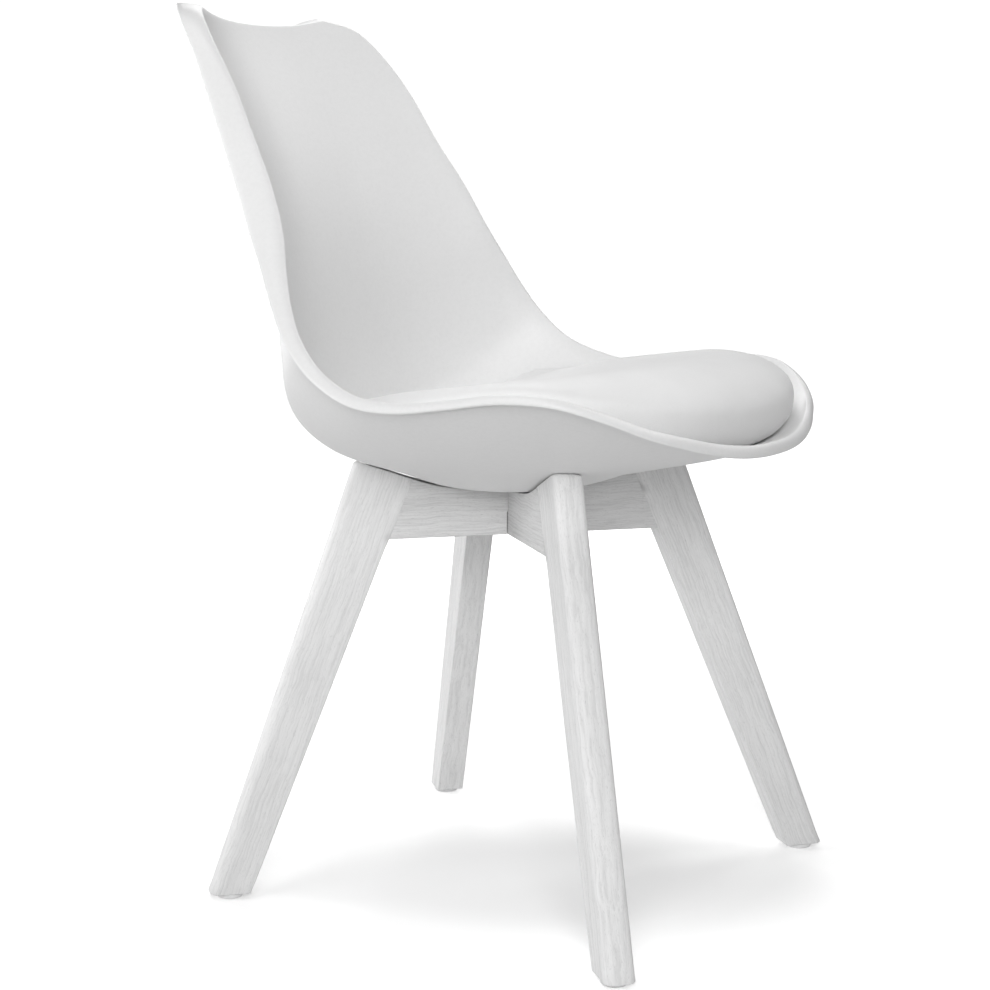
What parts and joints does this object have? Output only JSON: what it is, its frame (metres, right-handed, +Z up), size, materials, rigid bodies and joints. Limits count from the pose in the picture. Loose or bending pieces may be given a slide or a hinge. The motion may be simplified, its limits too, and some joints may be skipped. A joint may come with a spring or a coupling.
{
  "type": "dining chair",
  "caption": "Dining chair with a moulded bucket shell, a padded seat cushion and splayed wooden board legs joined by crossed beams.",
  "frame": {"origin": "centre of the footprint of the whole chair, at floor level under the glides", "axes": "+Z up, the sitter faces -Y, +X is the sitter's left"},
  "size_m": [0.5072, 0.5858, 0.8339],
  "materials": {
    "shell_plastic": "satin white moulded plastic",
    "pad_leatherette": "soft white leatherette over foam",
    "washed_beech": "whitewashed beech with visible grain",
    "pad_board": "bare bent plywood, hidden",
    "dowel_beech": "bare fluted beech, hidden",
    "glide_plastic": "clear soft plastic",
    "zinc_steel": "bright zinc plated steel",
    "insert_brass": "plain brass, hidden"
  },
  "bodies": {
    "root": {"seat_shell": "shell_plastic", "seat_cushion": "pad_leatherette", "cushion_board": "pad_board", "cushion_screw_1": "zinc_steel", "cushion_screw_2": "zinc_steel", "cushion_screw_3": "zinc_steel", "cushion_screw_4": "zinc_steel", "cross_beam_lower": "washed_beech", "cross_beam_upper": "washed_beech", "leg_front_right": "washed_beech", "dowel_front_right_1": "dowel_beech", "dowel_front_right_2": "dowel_beech", "seat_bolt_front_right": "zinc_steel", "bolt_washer_front_right": "zinc_steel", "threaded_insert_front_right": "insert_brass", "glide_front_right": "glide_plastic", "glide_nail_front_right": "zinc_steel", "leg_front_left": "washed_beech", "dowel_front_left_1": "dowel_beech", "dowel_front_left_2": "dowel_beech", "seat_bolt_front_left": "zinc_steel", "bolt_washer_front_left": "zinc_steel", "threaded_insert_front_left": "insert_brass", "glide_front_left": "glide_plastic", "glide_nail_front_left": "zinc_steel", "leg_rear_left": "washed_beech", "dowel_rear_left_1": "dowel_beech", "dowel_rear_left_2": "dowel_beech", "seat_bolt_rear_left": "zinc_steel", "bolt_washer_rear_left": "zinc_steel", "threaded_insert_rear_left": "insert_brass", "glide_rear_left": "glide_plastic", "glide_nail_rear_left": "zinc_steel", "leg_rear_right": "washed_beech", "dowel_rear_right_1": "dowel_beech", "dowel_rear_right_2": "dowel_beech", "seat_bolt_rear_right": "zinc_steel", "bolt_washer_rear_right": "zinc_steel", "threaded_insert_rear_right": "insert_brass", "glide_rear_right": "glide_plastic", "glide_nail_rear_right": "zinc_steel"}
  },
  "joints": []
}
